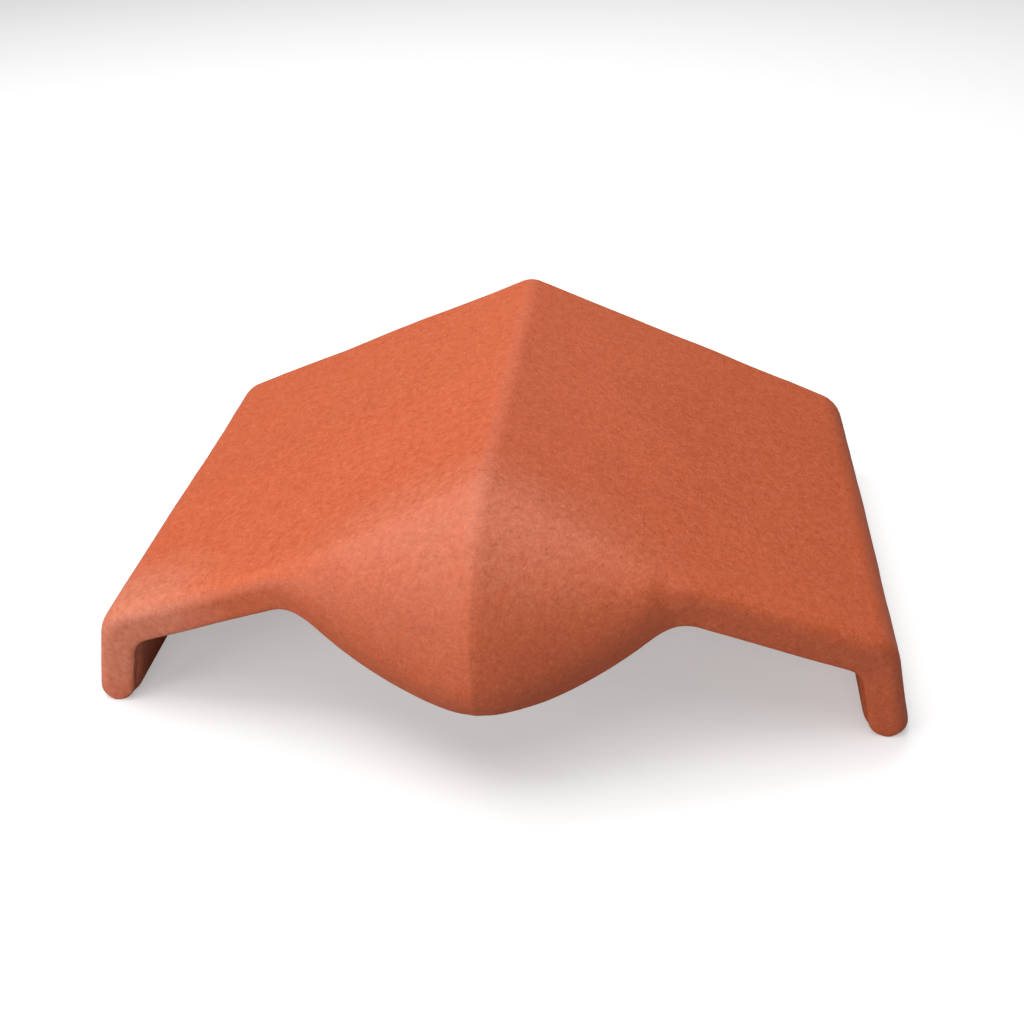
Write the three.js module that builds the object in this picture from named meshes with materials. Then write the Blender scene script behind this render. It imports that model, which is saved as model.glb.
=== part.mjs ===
import * as THREE from "three";

// Decorative ridge tile, one piece of fired clay. Millimetres, +Z up, the beak points along -Y.

const deg = THREE.MathUtils.degToRad;
const lerp = THREE.MathUtils.lerp;

// Section across the ridge
const FOOT_WIDTH = 260; // over the outer edges of the two feet
const RIDGE_HEIGHT = 84; // where the slopes would meet if the ridge were sharp
const SLOPE = deg(22.6); // fall of each slope
const LEG_SPLAY = deg(12.5); // each leg leans outwards
const WALL = 14.5; // slopes and beak, measured upright
const LEG_WALL = 13.5; // legs, measured across the foot
const RIDGE_RADIUS = 9;
const RIDGE_INNER_RADIUS = 8;
const SHOULDER_RADIUS = 14;
const SHOULDER_INNER_RADIUS = 9;
const FOOT_RADIUS = 4.5;

// Length along the ridge, counted from the front of the shoulders
const BACK_Y = 165;
const LIP_SWEEP = deg(8.2); // the lips come forward towards the middle

// Rounding of the edges that run across the tile: how far it reaches to each side of the edge
const BACK_EDGE_ROUND = 5.5;
const BEND_ROUND = 6;
const FRONT_EDGE_ROUND = 6;
const INNER_FRONT_ROUND = 3.5;
const INNER_BEND_ROUND = 7;
const INNER_BACK_ROUND = 3;

// Beak: hangs from a bend across the slopes and ends in a blunt tip
const BEAK_HALF_WIDTH = 61; // where it meets the lips
const BEND_Y = 6.5; // the bend where it crosses the ridge
const TIP_Y = -33.4;
const TIP_Z = 34;
const TIP_CUT_TURN = deg(36); // the cut edge rolls under towards the tip
const DROP_SHAPE = 1.35; // above 1 the lower edge falls faster near the lips
const FACE_BULGE = 0.34; // belly of the beak's faces against their own height
const BULGE_GROWTH = 14; // face height over which the belly builds up
const BULGE_START = 4;
const CREASE_SOFTNESS = 3; // rounding of the crease where it leaves the ridge
const EDGE_SOFTNESS = 6; // and where it reaches the tip
const JUNCTION_SOFTNESS = 0.13; // of the beak's half width
const INNER_BEND_SHIFT = 0.25; // of the wall, the inner bend sits behind the outer one
const LIP_STEP = 0.3; // keeps the bend's corner apart from the lip's edge

// How finely each stretch is cut
const RIDGE_STEPS = 3;
const SLOPE_STEPS = 22;
const SHOULDER_STEPS = 6;
const LEG_STEPS = 2;
const FOOT_STEPS = 4;
const FACE_POINTS = 6;
// round an edge, and from there on to the next edge
const BACK_CUT = { round: 3, run: 5 };
const BEND_CUT = { round: 3, run: 4 };
const FRONT_CUT = { round: 4, run: 1 };
const INNER_FRONT_CUT = { round: 2, run: 3 };
const INNER_BEND_CUT = { round: 2, run: 5 };
const INNER_BACK_CUT = { round: 2, run: 1 };

const CLAY = 0xd1613c;

function smooth(t) {
  const c = THREE.MathUtils.clamp(t, 0, 1);
  return c * c * (3 - 2 * c);
}

// zero below -e, its argument above e, a parabola between
function softRamp(g, e) {
  if (g < -e) return 0;
  if (g > e) return g;
  return ((g + e) * (g + e)) / (4 * e);
}

// points [x, z] from the ridge down one side to the floor, for the outer or the inner skin
function skin(height, footX, ridgeRadius, shoulderRadius, footTurn) {
  const points = [];
  const ridgeCentre = height - ridgeRadius / Math.cos(SLOPE);
  for (let k = 0; k <= RIDGE_STEPS; k++) {
    const q = (SLOPE * k) / RIDGE_STEPS;
    points.push([ridgeRadius * Math.sin(q), ridgeCentre + ridgeRadius * Math.cos(q)]);
  }
  const tanSlope = Math.tan(SLOPE);
  const tanSplay = Math.tan(LEG_SPLAY);
  const shoulderX = (footX - height * tanSplay) / (1 - tanSlope * tanSplay);
  const turn = Math.PI / 2 - SLOPE - LEG_SPLAY;
  const reach = shoulderRadius * Math.tan(turn / 2);
  const centreX = shoulderX - reach * Math.cos(SLOPE) - shoulderRadius * Math.sin(SLOPE);
  const shoulderZ = height - shoulderX * tanSlope;
  const centreZ = shoulderZ + reach * Math.sin(SLOPE) - shoulderRadius * Math.cos(SLOPE);
  const shoulder = [];
  for (let k = 0; k <= SHOULDER_STEPS; k++) {
    const q = SLOPE + (turn * k) / SHOULDER_STEPS;
    shoulder.push([centreX + shoulderRadius * Math.sin(q), centreZ + shoulderRadius * Math.cos(q)]);
  }
  const slopeStart = points[points.length - 1][0];
  for (let k = 1; k <= SLOPE_STEPS; k++) {
    const x = lerp(slopeStart, shoulder[0][0], k / SLOPE_STEPS);
    points.push([x, height - x * tanSlope]);
  }
  points.push(...shoulder.slice(1));
  const legTop = points[points.length - 1];
  for (let k = 1; k <= LEG_STEPS; k++) {
    const z = lerp(legTop[1], FOOT_RADIUS, k / LEG_STEPS);
    points.push([footX - z * tanSplay, z]);
  }
  for (let k = 1; k <= FOOT_STEPS; k++) {
    const q = ((Math.PI / 2) * k) / FOOT_STEPS;
    const z = FOOT_RADIUS * (1 - Math.sin(q));
    points.push([footX - z * tanSplay - footTurn * FOOT_RADIUS * (1 - Math.cos(q)), z]);
  }
  return { points, shoulderX };
}

const outer = skin(RIDGE_HEIGHT, FOOT_WIDTH / 2, RIDGE_RADIUS, SHOULDER_RADIUS, 1);
const inner = skin(
  RIDGE_HEIGHT - WALL,
  FOOT_WIDTH / 2 - LEG_WALL,
  RIDGE_INNER_RADIUS,
  SHOULDER_INNER_RADIUS,
  -1
);

// how far a station at x has entered the beak: 0 on the lips, 1 at the crease
function beakShare(x, softness) {
  const soften = (v) => Math.hypot(v, softness) - softness;
  return softRamp(1 - soften(x) / soften(BEAK_HALF_WIDTH), JUNCTION_SOFTNESS);
}

// two-dimensional curve between two corners, bulging to its upper front side
function bulged(from, to, bulge) {
  const dy = to[0] - from[0];
  const dz = to[1] - from[1];
  const side = Math.sign(dy) || 1;
  const points = [];
  for (let k = 1; k < FACE_POINTS; k++) {
    const t = k / FACE_POINTS;
    const h = 2 * bulge * t * (1 - t) * side;
    points.push([from[0] + dy * t - dz * h, from[1] + dz * t + dy * h]);
  }
  return points;
}

// sharp outline of one station; the points with a rounding and a cut are its corners
function stationOutline([xo, zo], [xi, zi]) {
  const fullSweep = -outer.shoulderX * Math.tan(LIP_SWEEP);
  const lipY = fullSweep * (1 - Math.min(xo, outer.shoulderX) / outer.shoulderX);
  const share = beakShare(xo, EDGE_SOFTNESS);
  const bendY = lipY + (BEND_Y - fullSweep) * beakShare(xo, CREASE_SOFTNESS);
  const edgeY = lipY + (TIP_Y - fullSweep) * share;
  const fall = DROP_SHAPE * share + (1 - DROP_SHAPE) * share * share;
  const drop = (RIDGE_HEIGHT - TIP_Z) * fall;
  const turn = TIP_CUT_TURN * Math.min(share, 1);
  const edge = [edgeY, zo - drop];
  const innerEdge = [edgeY + WALL * Math.sin(turn), zi - drop + WALL * (1 - Math.cos(turn))];
  const faceHeight = Math.hypot(edgeY - bendY, drop);
  const bend = [bendY, zo];
  const innerBend = [bendY + INNER_BEND_SHIFT * WALL * smooth(faceHeight / WALL), zi];
  const bulge = FACE_BULGE * smooth((faceHeight - BULGE_START) / BULGE_GROWTH);
  const outline = [];
  const add = (x, [y, z], rounding = 0, cut = null) => {
    outline.push({ at: new THREE.Vector3(x, y, z), rounding, cut });
  };
  add(xo, [BACK_Y, zo], BACK_EDGE_ROUND, BACK_CUT);
  add(xo, [bendY + LIP_STEP, zo], BEND_ROUND, BEND_CUT);
  bulged(bend, edge, bulge).forEach((p) => add(xo, p));
  add(xo, edge, FRONT_EDGE_ROUND, FRONT_CUT);
  add(xi, innerEdge, INNER_FRONT_ROUND, INNER_FRONT_CUT);
  bulged(innerBend, innerEdge, bulge).reverse().forEach((p) => add(xi, p));
  add(xi, [innerBend[0] + LIP_STEP, zi], INNER_BEND_ROUND, INNER_BEND_CUT);
  add(xi, [BACK_Y, zi], INNER_BACK_ROUND, INNER_BACK_CUT);
  return outline;
}

// distances along a closed outline and its running integral, for means over any stretch
function measured(outline) {
  const closed = [...outline.map((o) => o.at), outline[0].at];
  const reached = [0];
  const total = [new THREE.Vector3()];
  for (let i = 0; i + 1 < closed.length; i++) {
    const length = closed[i].distanceTo(closed[i + 1]);
    const middle = closed[i].clone().lerp(closed[i + 1], 0.5);
    reached.push(reached[i] + length);
    total.push(total[i].clone().addScaledVector(middle, length));
  }
  return { closed, reached, total, whole: reached[reached.length - 1] };
}

function totalAt(measure, place) {
  const { closed, reached, total, whole } = measure;
  const turns = Math.floor(place / whole);
  const s = place - turns * whole;
  let i = closed.length - 2;
  while (i > 0 && reached[i] > s) i--;
  const rest = s - reached[i];
  const here = closed[i].clone().lerp(closed[i + 1], rest / (reached[i + 1] - reached[i]));
  const middle = here.lerp(closed[i], 0.5);
  const sum = total[i].clone().addScaledVector(middle, rest);
  return sum.addScaledVector(total[total.length - 1], turns);
}

// the outline's mean over the rounding to both sides of a place on it
function meanAt(measure, place, rounding) {
  const sum = totalAt(measure, place + rounding).sub(totalAt(measure, place - rounding));
  return sum.divideScalar(2 * rounding);
}

// rounds an outline and returns its closed ring of points
function stationRing(outline) {
  const measure = measured(outline);
  const corners = outline
    .map((o, i) => ({ place: measure.reached[i], rounding: o.rounding, cut: o.cut }))
    .filter((corner) => corner.cut);
  const ring = [];
  corners.forEach((corner, m) => {
    const { place, rounding, cut } = corner;
    const before = corners[(m + corners.length - 1) % corners.length];
    const after = corners[(m + 1) % corners.length];
    const wrap = measure.whole;
    const lengthBefore = (place - before.place + wrap) % wrap;
    const lengthAfter = (after.place - place + wrap) % wrap;
    const shared = (a, b, length) => Math.min(a, (length * a) / (a + b));
    const start = shared(rounding, before.rounding, lengthBefore);
    const end = shared(rounding, after.rounding, lengthAfter);
    const stop = lengthAfter - shared(after.rounding, rounding, lengthAfter);
    for (let k = 0; k <= cut.round; k++) {
      const s = lerp(-start, end, k / cut.round);
      const t = s < 0 ? smooth(-s / lengthBefore) : smooth(s / lengthAfter);
      const width = lerp(rounding, s < 0 ? before.rounding : after.rounding, t);
      ring.push(meanAt(measure, place + s, width));
    }
    for (let k = 1; k <= cut.run; k++) {
      const s = lerp(end, stop, k / (cut.run + 1));
      const width = lerp(rounding, after.rounding, smooth(s / lengthAfter));
      ring.push(meanAt(measure, place + s, width));
    }
  });
  return ring;
}

function mirrored(ring) {
  return ring.map((p) => new THREE.Vector3(-p.x, p.y, p.z));
}

function tileGeometry() {
  const half = outer.points.map((p, i) => stationRing(stationOutline(p, inner.points[i])));
  const rings = [...half.slice(1).reverse().map(mirrored), ...half];
  const size = rings[0].length;
  const positions = rings.flat().flatMap((p) => [p.x, p.y, p.z]);
  const index = [];
  const quad = (a, b, c, d) => index.push(a, b, c, a, c, d);
  for (let i = 0; i + 1 < rings.length; i++) {
    for (let j = 0; j < size; j++) {
      const k = (j + 1) % size;
      quad(i * size + j, i * size + k, (i + 1) * size + k, (i + 1) * size + j);
    }
  }
  const soles = [0, rings.length - 1];
  soles.forEach((i) => {
    const centre = rings[i].reduce((sum, p) => sum.add(p), new THREE.Vector3()).divideScalar(size);
    const hub = positions.length / 3;
    positions.push(centre.x, centre.y, centre.z);
    for (let j = 0; j < size; j++) {
      const pair = [i * size + j, i * size + ((j + 1) % size)];
      if (i === 0) pair.reverse();
      index.push(hub, pair[0], pair[1]);
    }
  });
  const geometry = new THREE.BufferGeometry();
  geometry.setAttribute("position", new THREE.Float32BufferAttribute(positions, 3));
  geometry.setIndex(index);
  geometry.computeBoundingBox();
  const box = geometry.boundingBox;
  geometry.translate(0, -(box.min.y + box.max.y) / 2, -box.min.z);
  geometry.computeVertexNormals();
  return geometry;
}

const clay = new THREE.MeshStandardMaterial({ color: CLAY, roughness: 0.85, metalness: 0 });
const tile = new THREE.Mesh(tileGeometry(), clay);
tile.name = "ridge_tile";

const part = new THREE.Group();
part.name = "decorative_ridge_tile";
part.add(tile);

export default part;
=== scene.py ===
import math

import bpy
import numpy as np
from mathutils import Matrix, Vector, noise


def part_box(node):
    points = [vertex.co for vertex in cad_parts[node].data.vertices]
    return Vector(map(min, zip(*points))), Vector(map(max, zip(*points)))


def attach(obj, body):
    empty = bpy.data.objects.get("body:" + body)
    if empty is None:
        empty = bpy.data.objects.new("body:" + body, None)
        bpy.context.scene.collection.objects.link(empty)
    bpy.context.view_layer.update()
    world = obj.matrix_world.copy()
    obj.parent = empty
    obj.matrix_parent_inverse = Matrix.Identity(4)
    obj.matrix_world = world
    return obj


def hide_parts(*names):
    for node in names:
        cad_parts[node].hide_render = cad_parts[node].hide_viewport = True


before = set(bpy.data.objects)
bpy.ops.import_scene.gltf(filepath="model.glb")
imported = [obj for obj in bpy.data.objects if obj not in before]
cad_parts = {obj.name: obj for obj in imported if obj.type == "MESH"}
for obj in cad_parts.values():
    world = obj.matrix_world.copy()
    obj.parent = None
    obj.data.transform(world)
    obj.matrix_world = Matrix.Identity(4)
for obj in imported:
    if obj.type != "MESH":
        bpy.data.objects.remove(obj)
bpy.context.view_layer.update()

TINY = 1e-9  # keeps divisions away from zero

# ---------------------------------------------------------------- sizes of the tile, millimetres
PER_METRE = 1000  # millimetres in a metre

# section across the ridge
FOOT_WIDTH = 260.0  # over the outer edges of the two feet, before they are rounded
RIDGE_HEIGHT = 84.0  # where the slopes would meet if the ridge were sharp
SLOPE = math.radians(22.6)  # fall of each slope
LEG_SPLAY = math.radians(12.5)  # each leg leans outwards
WALL = 14.5  # slopes, measured upright, and the cut edge of the beak
LEG_WALL = 13.5  # legs, measured across the foot
RIDGE_RADIUS = 9.0
RIDGE_INNER_RADIUS = 8.0
SHOULDER_RADIUS = 14.0
SHOULDER_INNER_RADIUS = 9.0
FOOT_RADIUS = 4.5

# along the ridge, counted from the front of the shoulders
BACK_Y = 165.0
LIP_SWEEP = math.radians(8.2)  # the lips come forward towards the middle

# how far each rounding reaches to both sides of its edge
BACK_EDGE_ROUND = 5.5
BEND_ROUND = 4.0
BEND_FADE = 25.0  # face height over which the rounding narrows from the lip's to the bend's
FRONT_EDGE_ROUND = 6.0
INNER_FRONT_ROUND = 3.5
INNER_BEND_ROUND = 7.0
INNER_BACK_ROUND = 3.0

# beak: hangs from a bend across the slopes and ends in a blunt tip
BEAK_HALF_WIDTH = 61.0  # where it meets the lips
BEND_Y = 6.5  # the bend where it crosses the ridge
TIP_Y = -33.4
TIP_Z = 34.0
TIP_CUT_TURN = math.radians(36)  # the cut edge rolls under towards the tip
DROP_SHAPE = 1.35  # above 1 the lower edge falls faster near the lips
FACE_BULGE = 0.34  # twice the depth of the faces' belly, against their height
BULGE_GROWTH = 14.0  # face height over which the belly builds up
BULGE_START = 4.0  # and from which it does
CREASE_SOFTNESS = 3.0  # rounds the beak's middle crease at the bend
EDGE_SOFTNESS = 6.0  # and at the tip
JUNCTION_SOFTNESS = 0.13  # of the beak's half width
INNER_BEND_SHIFT = 0.25  # of the wall, the inner bend sits behind the outer one
LIP_STEP = 0.3  # keeps the bend's corner apart from the lip's edge

# slight unevenness of the pressed clay: wavelength and height; it fades out towards the soles
UNEVENNESS = ((42.0, 0.45), (17.0, 0.16), (6.5, 0.05))
UNEVEN_SHIFT = (3.0, 7.0)  # with the wavelength, where each wave is read from the noise
UNEVEN_FROM = 12.0  # height above the floor where it is at its full

# fired clay, linear colours
CLAY_DEEP = (0.585, 0.107, 0.033)
CLAY_WARM = (0.620, 0.119, 0.038)
CLAY_DUSTY = (0.620, 0.128, 0.046)
CLAY_SHADE = (0.40, 0.062, 0.020)
CLAY_PALE = (0.80, 0.215, 0.100)
# painted shade: the darker colour given to the inside of each pit
PIT_SHADE_COLOUR = (0.30, 0.048, 0.018)
# painted sheen: pale colour that stands in for the gloss of the lamps on the beak's top and the
# left leg
SHEEN_COLOUR = (0.76, 0.36, 0.25)

# pattern sizes, as repeats in a metre, and depths in metres
FIRE_MARKS = 10
PIT_GROUPS = 70
MOTTLING = 150
WRINKLES = 210
COARSE_SAND = 480
PITS = 520
FINE_SAND = 1150
SAND_DEPTH = 0.0004
WRINKLE_DEPTH = 0.0012

# a pattern's value from and to, and what it gives at each
FIRED_RAMP = (0.35, 0.65)
MOTTLE_RAMP = (0.35, 0.65, 0.0, 0.5)
SHADE_RAMP = (0.34, 0.52, 0.50, 0.0)
PALE_RAMP = (0.50, 0.68, 0.0, 0.42)
PIT_RAMP = (0.08, 0.20, 1.0, 0.0)
PIT_GROUP_RAMP = (0.60, 0.74, 0.0, 0.6)
# the painted sheen's strength follows the coarse sand
SHEEN_RAMP = (0.35, 0.65, 0.7, 1.25)
WRINKLE_RAMP = (0.0, 1.0, 0.15, 1.0)
ROUGHNESS_RAMP = (0.3, 0.7, 0.50, 0.66)

# how much of each goes in
FINE_SHARE = 0.6
COARSE_SHARE = 0.4
PITTED_SHARE = 0.45
# how strongly the painted shade darkens the pits
PIT_SHADE_STRENGTH = 0.55
PIT_DEPTH = 0.9
# strength of the painted sheen on the beak's top and on the left leg
BEAK_SHEEN = 0.14
LEG_SHEEN = 0.30
SAND_STRENGTH = 0.55
WRINKLE_STRENGTH = 0.5
GLOSS = 0.5

# places on the tile, metres: middle and reach of an ellipsoid
PITTED = ((0.034, -0.072, 0.052), (0.02, 0.03, 0.025))
# where the painted sheen lies: the beak's top, facing the lamp above, and the left leg, facing the
# lamp at the left
SHEEN_ON_BEAK = ((0.0, -0.070, 0.078), (0.085, 0.036, 0.034))
SHEEN_ON_LEG = ((-0.118, -0.070, 0.030), (0.050, 0.040, 0.050))
WRINKLED = ((0.0, -0.062, 0.080), (0.05, 0.035, 0.03))
NEAR_CORE = 0.25  # share of an ellipsoid's reach that counts as its middle

# how finely the mesh is cut: round the edges, and between one edge and the next
RIDGE_STEPS = 6
SLOPE_STEPS = 130
SHOULDER_STEPS = 10
LEG_STEPS = 14
FOOT_STEPS = 6
FACE_POINTS = 24
BACK_CUT = (8, 90)
BEND_CUT = (8, 40)
FRONT_CUT = (8, 4)
INNER_FRONT_CUT = (5, 10)
INNER_BEND_CUT = (6, 24)
INNER_BACK_CUT = (5, 3)
BEND_CORNER = 1  # place of the bend among an outline's corners


def smooth(t):
    c = min(max(t, 0.0), 1.0)
    return c * c * (3 - 2 * c)


def soft_ramp(g, e):
    """Zero below -e, g above e and a parabola between them."""
    if g < -e:
        return 0.0
    if g > e:
        return g
    return (g + e) ** 2 / (4 * e)


def skin(height, foot_x, ridge_radius, shoulder_radius, foot_turn):
    """Points (x, z) from the ridge down one side to the floor."""
    tan_slope, tan_splay = math.tan(SLOPE), math.tan(LEG_SPLAY)
    centre = height - ridge_radius / math.cos(SLOPE)
    points = []
    for k in range(RIDGE_STEPS + 1):
        q = SLOPE * k / RIDGE_STEPS
        points.append((ridge_radius * math.sin(q), centre + ridge_radius * math.cos(q)))
    shoulder_x = (foot_x - height * tan_splay) / (1 - tan_slope * tan_splay)
    turn = math.pi / 2 - SLOPE - LEG_SPLAY
    reach = shoulder_radius * math.tan(turn / 2)
    cx = shoulder_x - reach * math.cos(SLOPE) - shoulder_radius * math.sin(SLOPE)
    corner_z = height - shoulder_x * tan_slope
    cz = corner_z + reach * math.sin(SLOPE) - shoulder_radius * math.cos(SLOPE)
    shoulder = []
    for k in range(SHOULDER_STEPS + 1):
        q = SLOPE + turn * k / SHOULDER_STEPS
        shoulder.append((cx + shoulder_radius * math.sin(q), cz + shoulder_radius * math.cos(q)))
    start = points[-1][0]
    for k in range(1, SLOPE_STEPS + 1):
        x = start + (shoulder[0][0] - start) * k / SLOPE_STEPS
        points.append((x, height - x * tan_slope))
    points += shoulder[1:]
    top = points[-1][1]
    for k in range(1, LEG_STEPS + 1):
        z = top + (FOOT_RADIUS - top) * k / LEG_STEPS
        points.append((foot_x - z * tan_splay, z))
    for k in range(1, FOOT_STEPS + 1):
        q = math.pi / 2 * k / FOOT_STEPS
        z = FOOT_RADIUS * (1 - math.sin(q))
        points.append((foot_x - z * tan_splay - foot_turn * FOOT_RADIUS * (1 - math.cos(q)), z))
    return points, shoulder_x


OUTER_FOOT = FOOT_WIDTH / 2
INNER_FOOT = FOOT_WIDTH / 2 - LEG_WALL
OUTER, SHOULDER_X = skin(RIDGE_HEIGHT, OUTER_FOOT, RIDGE_RADIUS, SHOULDER_RADIUS, 1)
INNER, _ = skin(RIDGE_HEIGHT - WALL, INNER_FOOT, RIDGE_INNER_RADIUS, SHOULDER_INNER_RADIUS, -1)


def beak_share(x, softness):
    """How far a station at x has entered the beak: 0 on the lips, 1 at the crease."""
    def soften(v):
        return math.hypot(v, softness) - softness
    return soft_ramp(1 - soften(x) / soften(BEAK_HALF_WIDTH), JUNCTION_SOFTNESS)


def bulged(a, b, bulge):
    """Points between an upper and a lower corner, on a curve that bulges forwards and up."""
    dy, dz = b[0] - a[0], b[1] - a[1]
    points = []
    for k in range(1, FACE_POINTS):
        t = k / FACE_POINTS
        h = 2 * bulge * t * (1 - t)
        points.append((a[0] + dy * t + dz * h, a[1] + dz * t - dy * h))
    return points


def station_outline(outer, inner):
    """Sharp outline of one station: (point, rounding and cuts where it is a corner)."""
    xo, zo = outer
    xi, zi = inner
    full_sweep = -SHOULDER_X * math.tan(LIP_SWEEP)
    lip_y = full_sweep * (1 - min(xo, SHOULDER_X) / SHOULDER_X)
    crease = beak_share(xo, CREASE_SOFTNESS)
    share = beak_share(xo, EDGE_SOFTNESS)
    bend_y = lip_y + (BEND_Y - full_sweep) * crease
    edge_y = lip_y + (TIP_Y - full_sweep) * share
    drop = (RIDGE_HEIGHT - TIP_Z) * (DROP_SHAPE * share + (1 - DROP_SHAPE) * share * share)
    turn = TIP_CUT_TURN * min(share, 1)
    edge = (edge_y, zo - drop)
    inner_edge = (edge_y + WALL * math.sin(turn), zi - drop + WALL * (1 - math.cos(turn)))
    height = math.hypot(edge_y - bend_y, drop)
    bend = (bend_y, zo)
    inner_bend = (bend_y + INNER_BEND_SHIFT * WALL * smooth(height / WALL), zi)
    bulge = FACE_BULGE * smooth((height - BULGE_START) / BULGE_GROWTH)
    outline = [((xo, BACK_Y, zo), BACK_EDGE_ROUND, BACK_CUT)]
    bend_round = FRONT_EDGE_ROUND + (BEND_ROUND - FRONT_EDGE_ROUND) * smooth(height / BEND_FADE)
    outline.append(((xo, bend_y + LIP_STEP, zo), bend_round, BEND_CUT))
    outline += [((xo, *p), 0, None) for p in bulged(bend, edge, bulge)]
    outline.append(((xo, *edge), FRONT_EDGE_ROUND, FRONT_CUT))
    outline.append(((xi, *inner_edge), INNER_FRONT_ROUND, INNER_FRONT_CUT))
    outline += [((xi, *p), 0, None) for p in bulged(inner_bend, inner_edge, bulge)[::-1]]
    outline.append(((xi, inner_bend[0] + LIP_STEP, zi), INNER_BEND_ROUND, INNER_BEND_CUT))
    outline.append(((xi, BACK_Y, zi), INNER_BACK_ROUND, INNER_BACK_CUT))
    return outline


class Measure:
    """Distances along a closed outline, and its integral for means over any stretch."""

    def __init__(self, at):
        self.along = np.linalg.norm(np.roll(at, -1, 0) - at, axis=1)
        self.reached = np.concatenate([[0], np.cumsum(self.along)])
        self.whole = self.reached[-1]
        self.closed = np.concatenate([at, at[:1]])
        pieces = (self.closed[1:] + self.closed[:-1]) / 2 * self.along[:, None]
        self.total = np.concatenate([np.zeros((1, 3)), np.cumsum(pieces, 0)])

    def total_at(self, s):
        closed, total = self.closed, self.total
        turns = np.floor(s / self.whole)
        s = s - turns * self.whole
        last = len(self.along) - 1
        j = np.clip(np.searchsorted(self.reached, s, side="right") - 1, 0, last)
        rest = s - self.reached[j]
        part = (rest / np.maximum(self.along[j], TINY))[:, None]
        here = closed[j] + (closed[j + 1] - closed[j]) * part
        return total[j] + (closed[j] + here) / 2 * rest[:, None] + turns[:, None] * total[-1]

    def means(self, places, widths):
        s, w = np.array(places), np.array(widths)
        return (self.total_at(s + w) - self.total_at(s - w)) / (2 * w)[:, None]


def eased(s, start, end, w_start, w_end):
    return w_start + (w_end - w_start) * smooth((s - start) / (end - start))


def station_ring(outline):
    """Rounds an outline: each ring point is its mean over the rounding to both sides of a place."""
    measure = Measure(np.array([p for p, _, _ in outline]))
    whole = measure.whole
    corners = [(measure.reached[i], r, cut) for i, (_, r, cut) in enumerate(outline) if cut]
    places, widths = [], []
    for m, (here, w_here, (round_cuts, run_cuts)) in enumerate(corners):
        before, w_before, _ = corners[m - 1]
        after, w_after, after_cut = corners[(m + 1) % len(corners)]
        following, w_following, _ = corners[(m + 2) % len(corners)]
        before -= whole if m == 0 else 0
        after += whole if m + 1 == len(corners) else 0
        length_before, length_after = here - before, after - here
        start = here - min(w_here, length_before * w_here / (w_here + w_before))
        end = here + min(w_here, length_after * w_here / (w_here + w_after))
        stop = after - min(w_after, length_after * w_after / (w_here + w_after))
        spots = [start + (end - start) * k / round_cuts for k in range(round_cuts + 1)]
        spots += [end + (stop - end) * k / (run_cuts + 1) for k in range(1, run_cuts + 1)]
        if m == BEND_CORNER:
            # bend, face and front edge share one even run, so that the lips' short faces stay clean
            steps = round_cuts + run_cuts + after_cut[0]
            stop = after + min(w_after, (following - after) / 2)
            spots = [start + (stop - start) * k / steps for k in range(steps + 1)]
        if m == BEND_CORNER + 1:
            spots = spots[round_cuts + 1:]
        for s in spots:
            if m == BEND_CORNER and s > after:
                widths.append(eased(s, after, following, w_after, w_following))
            elif s < here:
                widths.append(eased(s, before, here, w_before, w_here))
            else:
                widths.append(eased(s, here, after, w_here, w_after))
            places.append(s)
    return measure.means(places, widths)


def tile_grid():
    """Rings of points from the left foot over the ridge to the right foot."""
    half = np.array([station_ring(station_outline(o, i)) for o, i in zip(OUTER, INNER)])
    return np.concatenate([half[1:][::-1] * [-1, 1, 1], half])


def uneven(grid):
    """Hand-worked unevenness: each point moves a little along the surface's own direction."""
    along = np.gradient(grid, axis=0)
    around = np.roll(grid, -1, 1) - np.roll(grid, 1, 1)
    out = np.cross(around, along)
    out /= np.maximum(np.linalg.norm(out, axis=2, keepdims=True), TINY)
    lift = np.zeros(grid.shape[:2])
    for i in range(grid.shape[0]):
        for j in range(grid.shape[1]):
            p = Vector(grid[i, j])
            for wave, height in UNEVENNESS:
                lift[i, j] += height * noise.noise(p / wave + Vector((wave, *UNEVEN_SHIFT)))
    lift *= np.clip(grid[..., 2] / UNEVEN_FROM, 0, 1)
    return grid + out * lift[..., None]


def back_of_tile():
    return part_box("ridge_tile")[1][1]


def tile_piece():
    grid = uneven(tile_grid())
    grid[..., 1] += back_of_tile() * PER_METRE - BACK_Y
    rings, size = grid.shape[:2]
    verts = grid.reshape(-1, 3) / PER_METRE
    faces = []
    for i in range(rings - 1):
        for j in range(size):
            k = (j + 1) % size
            faces.append((i * size + j, i * size + k, (i + 1) * size + k, (i + 1) * size + j))
    faces.append(tuple(range(size))[::-1])
    faces.append(tuple(range((rings - 1) * size, rings * size)))
    mesh = bpy.data.meshes.new("ridge_tile_skin")
    mesh.from_pydata(verts.tolist(), [], faces)
    mesh.polygons.foreach_set("use_smooth", [True] * len(mesh.polygons))
    mesh.update()
    piece = bpy.data.objects.new("ridge_tile_skin", mesh)
    bpy.context.collection.objects.link(piece)
    return piece


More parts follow.
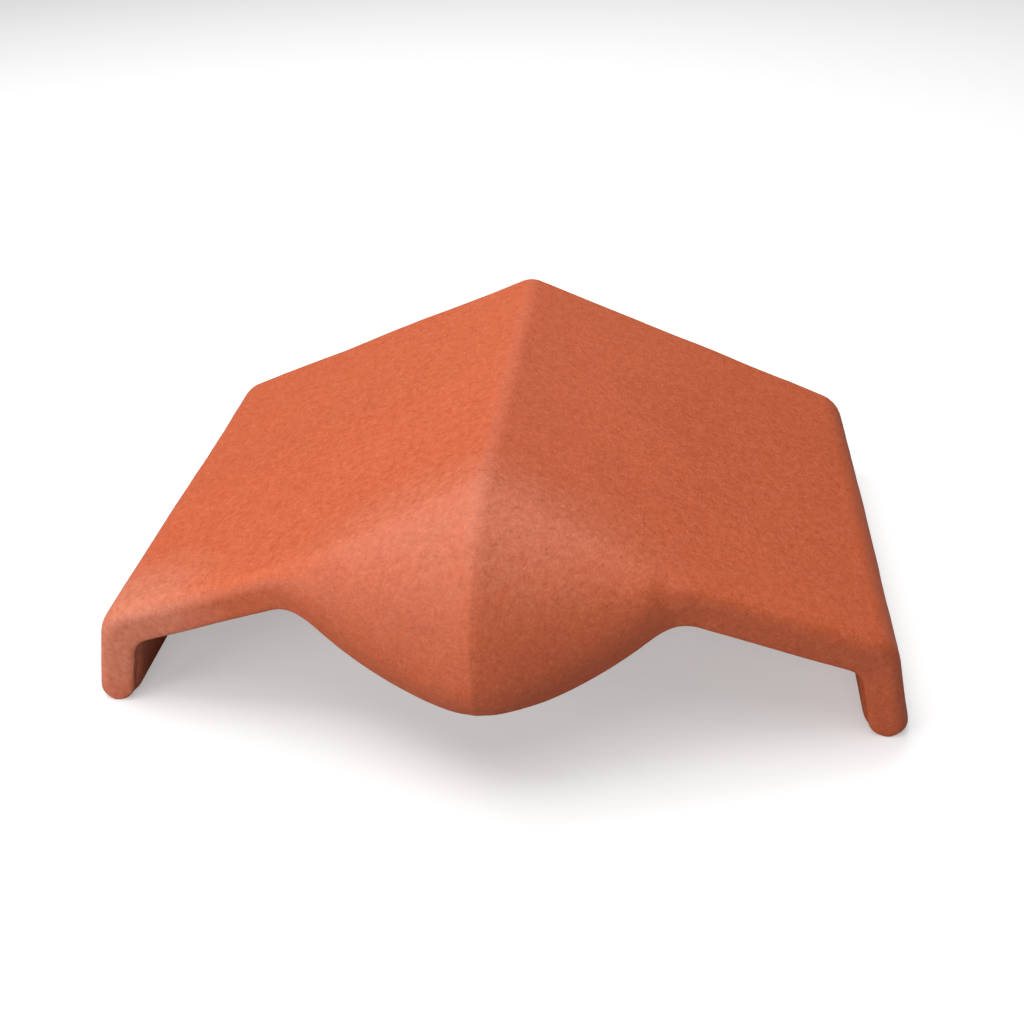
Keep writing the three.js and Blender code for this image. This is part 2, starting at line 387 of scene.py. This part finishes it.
# ---------------------------------------------------------------- fired clay
class Nodes:
    """Small helper for writing node chains."""

    def __init__(self, material):
        material.use_nodes = True
        self.nodes = material.node_tree.nodes
        self.links = material.node_tree.links
        self.shader = self.nodes["Principled BSDF"]
        self.coord = self.nodes.new("ShaderNodeTexCoord").outputs["Object"]

    def put(self, socket, value):
        if isinstance(value, bpy.types.NodeSocket):
            self.links.new(value, socket)
        else:
            socket.default_value = value

    def place(self, stretch=(1, 1, 1), shift=(0, 0, 0)):
        node = self.nodes.new("ShaderNodeMapping")
        node.inputs["Scale"].default_value = stretch
        node.inputs["Location"].default_value = shift
        self.put(node.inputs["Vector"], self.coord)
        return node.outputs["Vector"]

    def noise(self, scale, detail=2.0, rough=0.5, stretch=(1, 1, 1), shift=(0, 0, 0)):
        node = self.nodes.new("ShaderNodeTexNoise")
        node.inputs["Scale"].default_value = scale
        node.inputs["Detail"].default_value = detail
        node.inputs["Roughness"].default_value = rough
        self.put(node.inputs["Vector"], self.place(stretch, shift))
        return node.outputs["Fac"]

    def dots(self, scale):
        node = self.nodes.new("ShaderNodeTexVoronoi")
        node.inputs["Scale"].default_value = scale
        node.inputs["Randomness"].default_value = 1.0
        self.put(node.inputs["Vector"], self.place())
        return node.outputs["Distance"]

    def between(self, value, low, high, out_low=0.0, out_high=1.0):
        node = self.nodes.new("ShaderNodeMapRange")
        node.interpolation_type = "SMOOTHSTEP"
        self.put(node.inputs["Value"], value)
        limits = {"From Min": low, "From Max": high, "To Min": out_low, "To Max": out_high}
        for name, limit in limits.items():
            self.put(node.inputs[name], limit)
        return node.outputs["Result"]

    def math(self, operation, a, b):
        node = self.nodes.new("ShaderNodeMath")
        node.operation = operation
        self.put(node.inputs[0], a)
        self.put(node.inputs[1], b)
        return node.outputs["Value"]

    def near(self, centre, radii):
        """1 at the centre of an ellipsoid, 0 outside it."""
        stretch = tuple(1 / r for r in radii)
        shift = tuple(-c / r for c, r in zip(centre, radii))
        node = self.nodes.new("ShaderNodeVectorMath")
        node.operation = "LENGTH"
        self.put(node.inputs[0], self.place(stretch, shift))
        return self.between(node.outputs["Value"], NEAR_CORE, 1.0, 1.0, 0.0)

    def blend(self, fac, under, over):
        node = self.nodes.new("ShaderNodeMix")
        node.data_type = "RGBA"
        self.put(node.inputs["Factor"], fac)
        for name, value in (("A", under), ("B", (*over, 1))):
            socket = [s for s in node.inputs if s.name == name and s.type == "RGBA"][0]
            self.put(socket, value)
        return [s for s in node.outputs if s.type == "RGBA"][0]

    def bump(self, height, strength, distance, normal=None):
        node = self.nodes.new("ShaderNodeBump")
        node.inputs["Strength"].default_value = strength
        node.inputs["Distance"].default_value = distance
        self.put(node.inputs["Height"], height)
        if normal:
            self.put(node.inputs["Normal"], normal)
        return node.outputs["Normal"]


def sand_grain(n):
    """The coarse sand, and coarse and fine sand together."""
    fine = n.noise(FINE_SAND, 3, 0.65)
    coarse = n.noise(COARSE_SAND, 3, 0.6, shift=(5, 2, 8))
    fine_part = n.math("MULTIPLY", fine, FINE_SHARE)
    coarse_part = n.math("MULTIPLY", coarse, COARSE_SHARE)
    return coarse, n.math("ADD", fine_part, coarse_part)


def pit_marks(n):
    """Small pits: sparse all over, closer together low on the beak's right face."""
    dots = n.between(n.dots(PITS), *PIT_RAMP)
    sparse = n.between(n.noise(PIT_GROUPS, 2, shift=(1, 9, 4)), *PIT_GROUP_RAMP)
    close = n.math("MULTIPLY", n.near(*PITTED), PITTED_SHARE)
    return n.math("MULTIPLY", dots, n.math("MAXIMUM", sparse, close))


def painted_sheen(n, coarse):
    """Painted sheen: a pale veil on the top of the beak and on the left leg, where the lamps above
    and at the left give a gloss.
    """
    beak = n.math("MULTIPLY", n.near(*SHEEN_ON_BEAK), BEAK_SHEEN)
    leg = n.math("MULTIPLY", n.near(*SHEEN_ON_LEG), LEG_SHEEN)
    return n.math("MULTIPLY", n.math("ADD", beak, leg), n.between(coarse, *SHEEN_RAMP))


def clay_colour(n, coarse, speck, pits):
    fired = n.between(n.noise(FIRE_MARKS, 3, 0.55), *FIRED_RAMP)
    colour = n.blend(fired, (*CLAY_DEEP, 1), CLAY_WARM)
    mottle = n.between(n.noise(MOTTLING, 4, 0.6, shift=(3, 1, 2)), *MOTTLE_RAMP)
    colour = n.blend(mottle, colour, CLAY_DUSTY)
    colour = n.blend(n.between(speck, *SHADE_RAMP), colour, CLAY_SHADE)
    colour = n.blend(n.between(speck, *PALE_RAMP), colour, CLAY_PALE)
    # painted shade: the pits are darkened, as shade would darken their insides
    colour = n.blend(n.math("MULTIPLY", pits, PIT_SHADE_STRENGTH), colour, PIT_SHADE_COLOUR)
    # painted sheen: the pale veil laid over the clay where the lamps would give a gloss
    return n.blend(painted_sheen(n, coarse), colour, SHEEN_COLOUR)


def clay_relief(n, speck, pits):
    """Relief too fine for the mesh: sand, pits and the wrinkles where the beak was bent down."""
    sand = n.math("SUBTRACT", speck, n.math("MULTIPLY", pits, PIT_DEPTH))
    normal = n.bump(sand, SAND_STRENGTH, SAND_DEPTH)
    wrinkle = n.noise(WRINKLES, 3, 0.55, stretch=(0.35, 1.0, 1.0), shift=(2, 2, 2))
    bent = n.between(n.near(*WRINKLED), *WRINKLE_RAMP)
    folds = n.math("MULTIPLY", wrinkle, bent)
    return n.bump(folds, WRINKLE_STRENGTH, WRINKLE_DEPTH, normal)


def clay_material():
    mat = bpy.data.materials.new("terracotta")
    n = Nodes(mat)
    coarse, speck = sand_grain(n)
    pits = pit_marks(n)
    n.put(n.shader.inputs["Base Color"], clay_colour(n, coarse, speck, pits))
    n.put(n.shader.inputs["Roughness"], n.between(coarse, *ROUGHNESS_RAMP))
    n.put(n.shader.inputs["Normal"], clay_relief(n, speck, pits))
    n.shader.inputs["Specular IOR Level"].default_value = GLOSS
    return mat


# ---------------------------------------------------------------- camera, floor, light
SENSOR = 36  # millimetres
CAMERA_LENS = 43.72734375  # millimetres, on that sensor
CAMERA_PITCH = math.radians(32.04)
CAMERA_YAW = math.radians(7.22)
CAMERA_ROLL = math.radians(-2.08)
CAMERA_PLACE = (0.0469, -0.2957, 0.2639)  # y counted from the front of the shoulders
CLIP_END = 50

# floor and lamps, metres
FLOOR_HALF = 6.0
FLOOR_PAPER = 0.75  # what the camera sees: white paper with a little glow
FLOOR_GLOW = 0.36
FLOOR_BOUNCE = 0.36  # what lights the tile from below
ROOM_LIGHT = 0.04
LAMP_TARGET = (0, 0, 0.05)

# soft boxes: place, width and length in metres, watts
LAMPS = (
    ("top_front", (0.0, -0.30, 1.5), (1.1, 1.1), 7.0),
    ("top_left", (-0.6, 0.1, 1.4), (1.0, 1.0), 12.5),
    ("left_front_low", (-0.6, -0.5, 0.2), (0.4, 0.4), 2.3),
    ("front", (0.0, -1.3, 0.6), (0.8, 0.8), 4.5),
    ("back_high", (0.0, 0.8, 1.3), (0.8, 0.8), 7.0),
)


def make_camera():
    pitch, yaw, roll = CAMERA_PITCH, CAMERA_YAW, CAMERA_ROLL
    level = math.cos(pitch)
    forward = Vector((-math.sin(yaw) * level, math.cos(yaw) * level, -math.sin(pitch)))
    right = forward.cross(Vector((0, 0, 1))).normalized()
    up = right.cross(forward)
    rolled_right = math.cos(roll) * right + math.sin(roll) * up
    rolled_up = math.cos(roll) * up - math.sin(roll) * right
    data = bpy.data.cameras.new("camera")
    data.sensor_width = SENSOR
    data.lens = CAMERA_LENS
    data.clip_end = CLIP_END
    cam = bpy.data.objects.new("camera", data)
    rot = Matrix((rolled_right, rolled_up, -forward)).transposed().to_4x4()
    place = Vector(CAMERA_PLACE) + Vector((0, back_of_tile() - BACK_Y / PER_METRE, 0))
    cam.matrix_world = Matrix.Translation(place) @ rot
    bpy.context.collection.objects.link(cam)
    bpy.context.scene.camera = cam


def by_ray(tree, seen, other):
    """Shader that looks one way to the camera and lights the tile another way."""
    ray = tree.nodes.new("ShaderNodeLightPath")
    mix = tree.nodes.new("ShaderNodeMixShader")
    tree.links.new(ray.outputs["Is Camera Ray"], mix.inputs[0])
    tree.links.new(other, mix.inputs[1])
    tree.links.new(seen, mix.inputs[2])
    return mix.outputs[0]


def make_floor():
    mesh = bpy.data.meshes.new("floor")
    s = FLOOR_HALF
    mesh.from_pydata([(-s, -s, 0), (s, -s, 0), (s, s, 0), (-s, s, 0)], [], [(0, 1, 2, 3)])
    floor = bpy.data.objects.new("floor", mesh)
    bpy.context.collection.objects.link(floor)
    mat = bpy.data.materials.new("floor")
    mat.use_nodes = True
    tree = mat.node_tree
    tree.nodes.remove(tree.nodes["Principled BSDF"])
    paper = tree.nodes.new("ShaderNodeBsdfDiffuse")
    paper.inputs["Color"].default_value = (FLOOR_PAPER, FLOOR_PAPER, FLOOR_PAPER, 1)
    glow = tree.nodes.new("ShaderNodeEmission")
    glow.inputs["Strength"].default_value = FLOOR_GLOW
    seen = tree.nodes.new("ShaderNodeAddShader")
    tree.links.new(paper.outputs[0], seen.inputs[0])
    tree.links.new(glow.outputs[0], seen.inputs[1])
    bounce = tree.nodes.new("ShaderNodeBsdfDiffuse")
    bounce.inputs["Color"].default_value = (FLOOR_BOUNCE, FLOOR_BOUNCE, FLOOR_BOUNCE, 1)
    out = tree.nodes["Material Output"]
    tree.links.new(by_ray(tree, seen.outputs[0], bounce.outputs[0]), out.inputs["Surface"])
    mesh.materials.append(mat)


def area_light(name, place, size, power):
    data = bpy.data.lights.new(name, "AREA")
    data.shape = "RECTANGLE"
    data.size, data.size_y = size
    data.energy = power
    lamp = bpy.data.objects.new(name, data)
    aim = Vector(LAMP_TARGET) - Vector(place)
    turn = aim.to_track_quat("-Z", "Y").to_matrix().to_4x4()
    lamp.matrix_world = Matrix.Translation(place) @ turn
    bpy.context.collection.objects.link(lamp)


def make_light():
    world = bpy.data.worlds.new("world")
    world.use_nodes = True
    tree = world.node_tree
    soft = tree.nodes["Background"]
    soft.inputs["Color"].default_value = (1, 1, 1, 1)
    soft.inputs["Strength"].default_value = ROOM_LIGHT
    white = tree.nodes.new("ShaderNodeBackground")
    white.inputs["Color"].default_value = (1, 1, 1, 1)
    white.inputs["Strength"].default_value = 1.0
    out = tree.nodes["World Output"]
    tree.links.new(by_ray(tree, white.outputs[0], soft.outputs[0]), out.inputs["Surface"])
    bpy.context.scene.world = world
    for name, place, size, power in LAMPS:
        area_light(name, place, size, power)
    view = bpy.context.scene.view_settings
    view.view_transform = "Standard"
    view.look = "None"
    view.exposure = 0
    view.gamma = 1


tile = tile_piece()
tile.data.materials.append(clay_material())
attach(tile, "root")
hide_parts("ridge_tile")
make_floor()
make_light()
make_camera()
